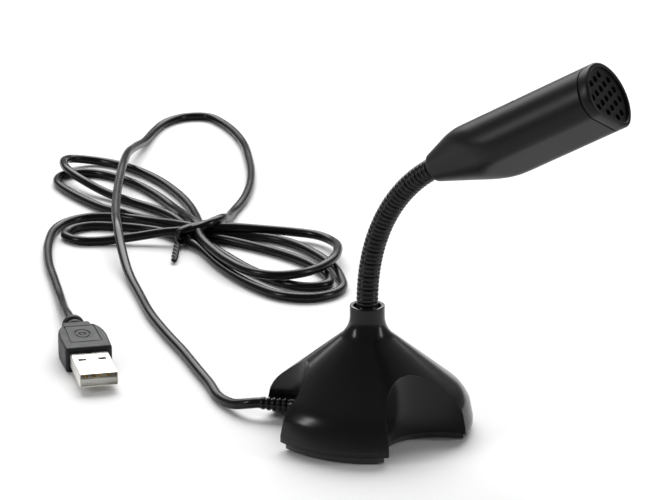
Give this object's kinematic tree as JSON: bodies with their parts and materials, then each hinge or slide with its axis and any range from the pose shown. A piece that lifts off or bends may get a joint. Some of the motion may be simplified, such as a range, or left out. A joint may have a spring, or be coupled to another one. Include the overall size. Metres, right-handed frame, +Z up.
{
  "type": "desktop microphone",
  "caption": "Small desktop microphone on a three-footed bell base, with a bending gooseneck, a tubular head with a perforated cap, and a USB cord tied in a hank.",
  "frame": {"origin": "centre of the base, on the surface that its foot pads stand on (mount rest_centre)", "axes": "+Z up; the gooseneck bends forward in the XZ plane towards +X, and +Y is to the left of the head seen from behind it"},
  "size_m": [0.31, 0.2968, 0.1201],
  "materials": {
    "gloss_black_plastic": "gloss moulded, lightly scuffed",
    "satin_black_plastic": "satin moulded",
    "pad_foam": "closed-cell foam",
    "zinc_steel": "zinc plated",
    "weight_steel": "stamped, oiled",
    "board_laminate": "solder mask over glass laminate",
    "chip_epoxy": "moulded epoxy with tinned legs",
    "can_steel": "drawn can",
    "capacitor_sleeve": "shrunk sleeve",
    "header_nylon": "natural nylon",
    "lead_sheath": "soft sheath",
    "plated_steel": "nickel plated",
    "black_spring_steel": "black oxide over wound steel",
    "head_black_plastic": "satin moulded",
    "acoustic_foam": "open-cell foam",
    "capsule_cloth": "felt",
    "capsule_aluminium": "drawn can",
    "holder_rubber": "moulded rubber",
    "cord_sheath": "satin PVC",
    "tie_plastic": "plastic-coated wire",
    "plug_moulding": "soft satin PVC moulding",
    "nickel_shell": "nickel-plated sheet steel",
    "white_plastic": "white moulded",
    "gold_contact": "gold flash"
  },
  "bodies": {
    "base": {"base_shell": "gloss_black_plastic", "base_plate": "satin_black_plastic", "foot_pads": "pad_foam", "base_screws": "zinc_steel", "steel_weight": "weight_steel", "weight_screw": "zinc_steel", "circuit_board": "board_laminate", "board_screws": "zinc_steel", "codec_chip": "chip_epoxy", "crystal_can": "can_steel", "filter_capacitors": "capacitor_sleeve", "cord_header": "header_nylon", "mic_header": "header_nylon", "mic_lead": "lead_sheath", "neck_nut": "plated_steel", "lock_washer": "plated_steel", "lower_ferrule": "plated_steel", "gooseneck_foot": "black_spring_steel", "base_strain_relief": "cord_sheath", "cord_loop": "cord_sheath", "cord_hank": "cord_sheath", "cord_lead": "cord_sheath", "twist_tie": "tie_plastic", "plug_strain_relief": "plug_moulding", "plug_grip": "plug_moulding", "plug_shell": "nickel_shell", "plug_tongue": "white_plastic", "plug_contacts": "gold_contact"},
    "neck_01": {"neck_link_01": "black_spring_steel"},
    "neck_02": {"neck_link_02": "black_spring_steel"},
    "neck_03": {"neck_link_03": "black_spring_steel"},
    "neck_04": {"neck_link_04": "black_spring_steel"},
    "neck_05": {"neck_link_05": "black_spring_steel"},
    "neck_06": {"neck_link_06": "black_spring_steel"},
    "neck_07": {"neck_link_07": "black_spring_steel"},
    "neck_08": {"neck_link_08": "black_spring_steel"},
    "neck_09": {"neck_link_09": "black_spring_steel"},
    "neck_10": {"neck_link_10": "black_spring_steel"},
    "neck_11": {"neck_link_11": "black_spring_steel"},
    "neck_12": {"neck_link_12": "black_spring_steel"},
    "head": {"upper_ferrule": "black_spring_steel", "upper_nut": "plated_steel", "head_shell": "head_black_plastic", "grille_cap": "head_black_plastic", "foam_disc": "acoustic_foam", "capsule_felt": "capsule_cloth", "mic_capsule": "capsule_aluminium", "capsule_board": "board_laminate", "capsule_holder": "holder_rubber", "head_lead": "lead_sheath"}
  },
  "joints": [
    {"name": "neck_bend", "type": "hinge", "parent": "base", "child": "neck_01", "pos_m": [0, 0, 0.0393], "axis": [0, 1, 0], "range_deg": [-8.5, 8.5]},
    {"name": "neck_side", "type": "hinge", "parent": "neck_01", "child": "neck_02", "pos_m": [0.00015, 0, 0.04345], "axis": [0.9979, 0, -0.0646], "range_deg": [-9, 9]},
    {"name": "neck_bend_2", "type": "hinge", "parent": "neck_02", "child": "neck_03", "pos_m": [0.00054, 0, 0.04758], "axis": [0, 1, 0], "range_deg": [-8.5, 8.5]},
    {"name": "neck_side_2", "type": "hinge", "parent": "neck_03", "child": "neck_04", "pos_m": [0.00118, 0, 0.05168], "axis": [0.9818, 0, -0.1898], "range_deg": [-9, 9]},
    {"name": "neck_bend_3", "type": "hinge", "parent": "neck_04", "child": "neck_05", "pos_m": [0.00211, 0, 0.05572], "axis": [0, 1, 0], "range_deg": [-8.5, 8.5]},
    {"name": "neck_side_3", "type": "hinge", "parent": "neck_05", "child": "neck_06", "pos_m": [0.00335, 0, 0.05969], "axis": [0.9418, 0, -0.3362], "range_deg": [-9, 9]},
    {"name": "neck_bend_4", "type": "hinge", "parent": "neck_06", "child": "neck_07", "pos_m": [0.0049, 0, 0.06353], "axis": [0, 1, 0], "range_deg": [-8.5, 8.5]},
    {"name": "neck_side_4", "type": "hinge", "parent": "neck_07", "child": "neck_08", "pos_m": [0.00677, 0, 0.06724], "axis": [0.8714, 0, -0.4905], "range_deg": [-9, 9]},
    {"name": "neck_bend_5", "type": "hinge", "parent": "neck_08", "child": "neck_09", "pos_m": [0.00897, 0, 0.07076], "axis": [0, 1, 0], "range_deg": [-8.5, 8.5]},
    {"name": "neck_side_5", "type": "hinge", "parent": "neck_09", "child": "neck_10", "pos_m": [0.01147, 0, 0.07407], "axis": [0.7668, 0, -0.6419], "range_deg": [-9, 9]},
    {"name": "neck_bend_6", "type": "hinge", "parent": "neck_10", "child": "neck_11", "pos_m": [0.01429, 0, 0.07712], "axis": [0, 1, 0], "range_deg": [-8.5, 8.5]},
    {"name": "neck_side_6", "type": "hinge", "parent": "neck_11", "child": "neck_12", "pos_m": [0.01738, 0, 0.07988], "axis": [0.6269, 0, -0.7791], "range_deg": [-9, 9]},
    {"name": "neck_bend_7", "type": "hinge", "parent": "neck_12", "child": "head", "pos_m": [0.02074, 0, 0.08231], "axis": [0, 1, 0], "range_deg": [-8.5, 8.5]}
  ],
  "couplings": [
    {"joint": "neck_bend_2", "follows": "neck_bend", "ratio": 1},
    {"joint": "neck_side_2", "follows": "neck_side", "ratio": 1},
    {"joint": "neck_bend_3", "follows": "neck_bend", "ratio": 1},
    {"joint": "neck_side_3", "follows": "neck_side", "ratio": 1},
    {"joint": "neck_bend_4", "follows": "neck_bend", "ratio": 1},
    {"joint": "neck_side_4", "follows": "neck_side", "ratio": 1},
    {"joint": "neck_bend_5", "follows": "neck_bend", "ratio": 1},
    {"joint": "neck_side_5", "follows": "neck_side", "ratio": 1},
    {"joint": "neck_bend_6", "follows": "neck_bend", "ratio": 1},
    {"joint": "neck_side_6", "follows": "neck_side", "ratio": 1},
    {"joint": "neck_bend_7", "follows": "neck_bend", "ratio": 1}
  ]
}
